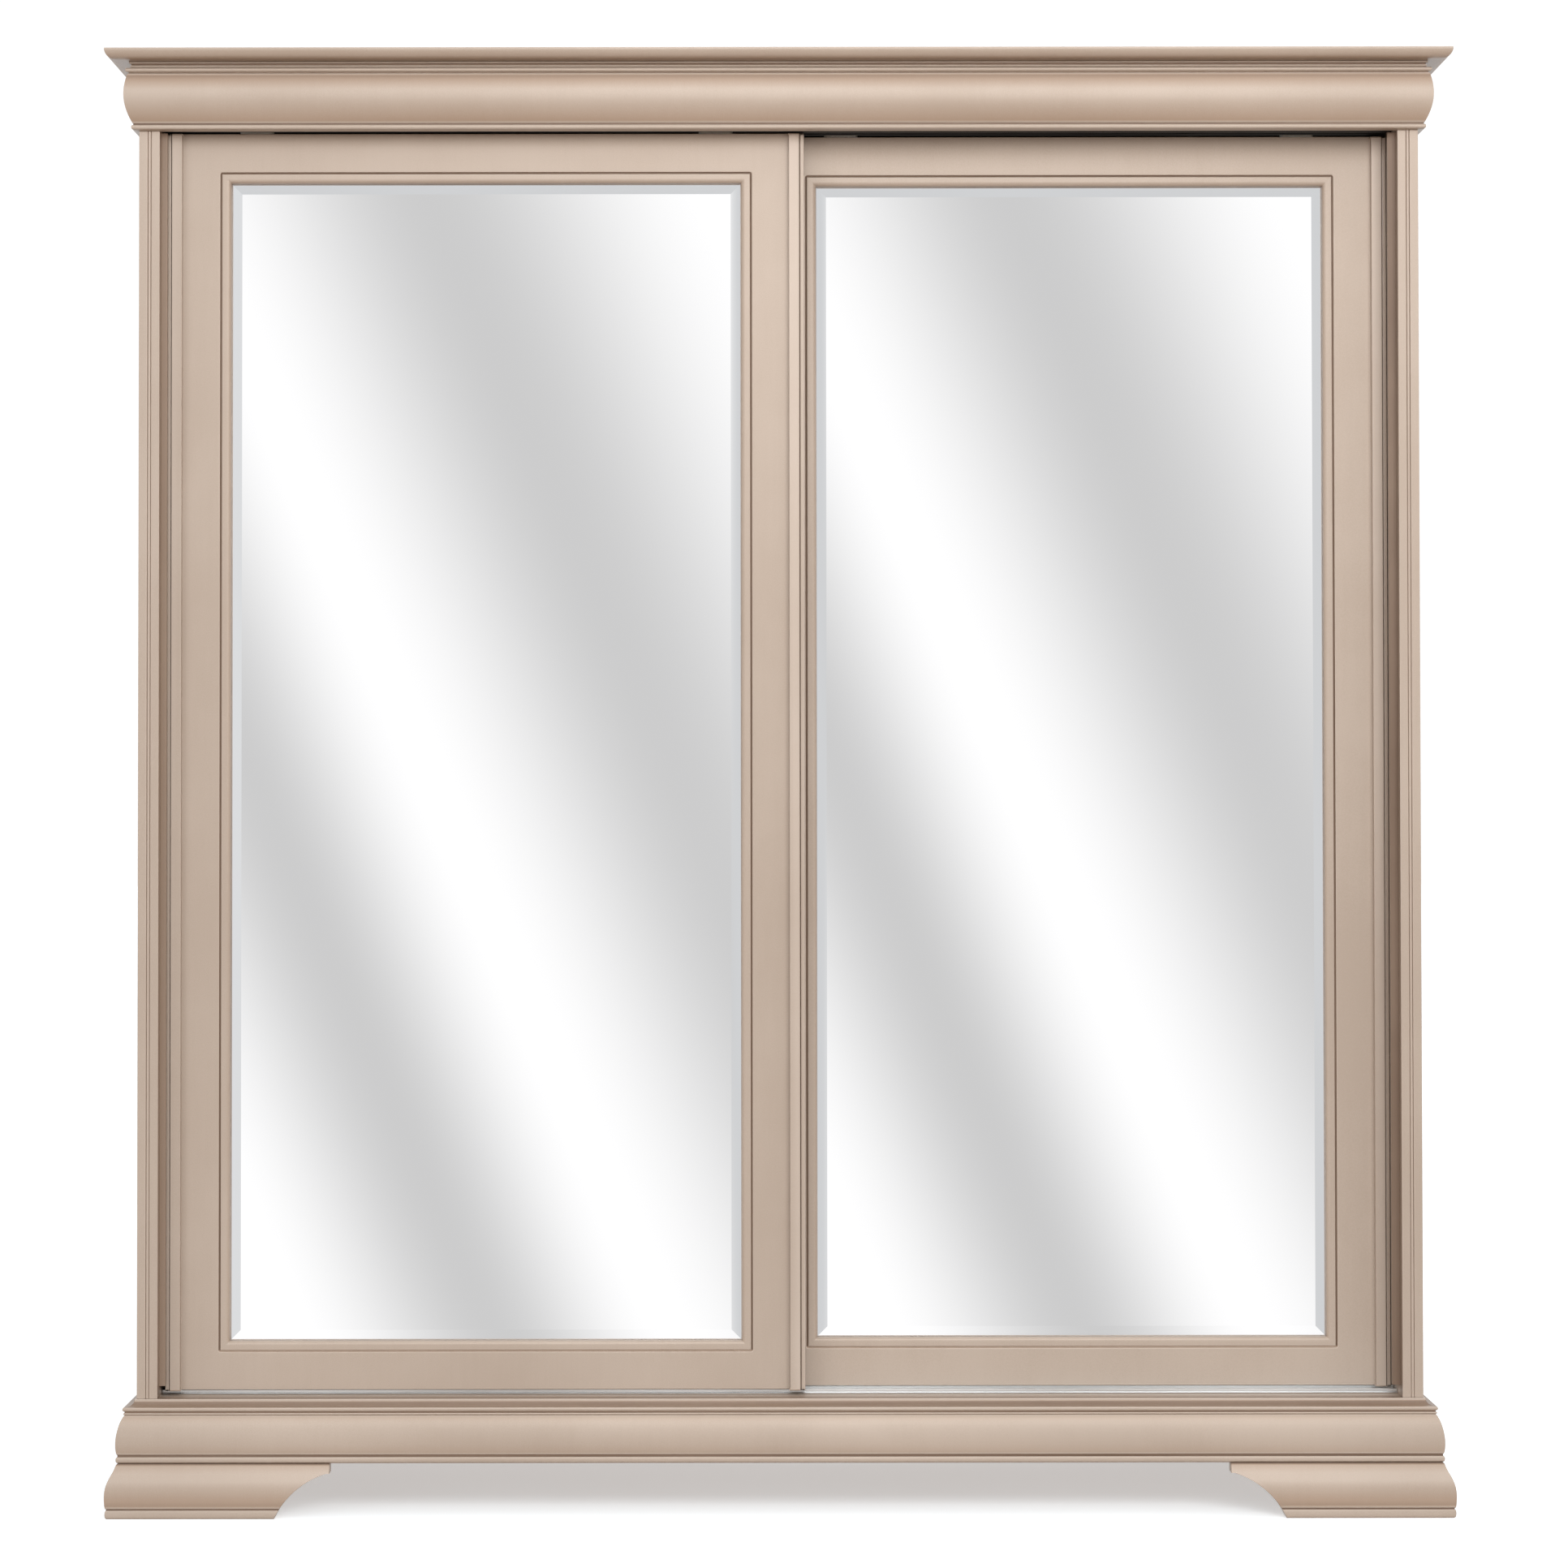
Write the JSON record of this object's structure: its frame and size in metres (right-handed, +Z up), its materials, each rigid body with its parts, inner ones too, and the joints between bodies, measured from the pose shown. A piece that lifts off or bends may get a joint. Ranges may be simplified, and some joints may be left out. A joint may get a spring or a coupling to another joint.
{
  "type": "sliding-door armoire",
  "caption": "Wide armoire on bracket feet with a moulded crown and base, sliding bevelled-mirror doors in champagne painted frames, and hanging and shelf bays inside.",
  "frame": {"origin": "on the floor, under the middle of the armoire's bounding box", "axes": "+X to the right seen from the front, -Y towards the person in front of the doors, +Z up"},
  "size_m": [1.9634, 0.711, 2.134],
  "materials": {
    "painted_wood": "satin champagne taupe lacquer with a faint metallic sheen and a darker glaze in the grooves",
    "interior_wood": "matt taupe, plain",
    "mirror_glass": "silvered float glass with a ground and polished bevel",
    "mirror_backing": "raw hardboard",
    "aluminium": "satin anodised extrusion",
    "steel": "zinc plated or chromed",
    "nylon": "moulded, off-white"
  },
  "bodies": {
    "case": {"back_panel": "interior_wood", "base_back": "painted_wood", "base_front": "painted_wood", "base_left": "painted_wood", "base_right": "painted_wood", "bottom_track": "aluminium", "ceiling_board": "interior_wood", "centre_partition": "interior_wood", "crown_front": "painted_wood", "crown_left": "painted_wood", "crown_right": "painted_wood", "floor_board": "interior_wood", "foot_front_left": "painted_wood", "foot_front_right": "painted_wood", "foot_rear_left": "painted_wood", "foot_rear_right": "painted_wood", "front_post_left": "painted_wood", "front_post_right": "painted_wood", "hanging_rod": "steel", "hat_shelf_left": "interior_wood", "hat_shelf_right": "interior_wood", "head_rail": "painted_wood", "rear_post_left": "painted_wood", "rear_post_right": "painted_wood", "right_shelf_lower": "interior_wood", "right_shelf_upper": "interior_wood", "rod_socket_inner": "steel", "rod_socket_outer": "steel", "side_panel_left": "painted_wood", "side_panel_right": "painted_wood", "top_board": "painted_wood", "top_track": "aluminium"},
    "left_door": {"left_door_bottom_rail": "painted_wood", "left_door_left_pull": "painted_wood", "left_door_left_roller_housing": "steel", "left_door_left_stile": "painted_wood", "left_door_left_top_guide": "nylon", "left_door_mirror": "mirror_glass", "left_door_mirror_backing": "mirror_backing", "left_door_right_pull": "painted_wood", "left_door_right_roller_housing": "steel", "left_door_right_stile": "painted_wood", "left_door_right_top_guide": "nylon", "left_door_top_rail": "painted_wood"},
    "right_door": {"right_door_bottom_rail": "painted_wood", "right_door_left_pull": "painted_wood", "right_door_left_roller_housing": "steel", "right_door_left_stile": "painted_wood", "right_door_left_top_guide": "nylon", "right_door_mirror": "mirror_glass", "right_door_mirror_backing": "mirror_backing", "right_door_right_pull": "painted_wood", "right_door_right_roller_housing": "steel", "right_door_right_stile": "painted_wood", "right_door_right_top_guide": "nylon", "right_door_top_rail": "painted_wood"},
    "left_door_left_roller_wheel": {"left_door_left_roller": "nylon"},
    "left_door_right_roller_wheel": {"left_door_right_roller": "nylon"},
    "right_door_left_roller_wheel": {"right_door_left_roller": "nylon"},
    "right_door_right_roller_wheel": {"right_door_right_roller": "nylon"}
  },
  "joints": [
    {"name": "left_door_slide", "type": "slide", "parent": "case", "child": "left_door", "axis": [1, 0, 0], "range_m": [0, 0.862]},
    {"name": "right_door_slide", "type": "slide", "parent": "case", "child": "right_door", "axis": [-1, 0, 0], "range_m": [0, 0.862]},
    {"name": "left_door_left_roller_turn", "type": "hinge", "parent": "left_door", "child": "left_door_left_roller_wheel", "pos_m": [-0.7695, -0.2578, 0.1856], "axis": [0, 1, 0], "continuous": true},
    {"name": "left_door_right_roller_turn", "type": "hinge", "parent": "left_door", "child": "left_door_right_roller_wheel", "pos_m": [-0.0927, -0.2578, 0.1856], "axis": [0, 1, 0], "continuous": true},
    {"name": "right_door_left_roller_turn", "type": "hinge", "parent": "right_door", "child": "right_door_left_roller_wheel", "pos_m": [0.0927, -0.2213, 0.1856], "axis": [0, 1, 0], "continuous": true},
    {"name": "right_door_right_roller_turn", "type": "hinge", "parent": "right_door", "child": "right_door_right_roller_wheel", "pos_m": [0.7695, -0.2213, 0.1856], "axis": [0, 1, 0], "continuous": true}
  ],
  "couplings": [
    {"joint": "left_door_left_roller_turn", "follows": "left_door_slide", "rad_per_m": 90.909},
    {"joint": "left_door_right_roller_turn", "follows": "left_door_slide", "rad_per_m": 90.909},
    {"joint": "right_door_left_roller_turn", "follows": "right_door_slide", "rad_per_m": -90.909},
    {"joint": "right_door_right_roller_turn", "follows": "right_door_slide", "rad_per_m": -90.909}
  ]
}
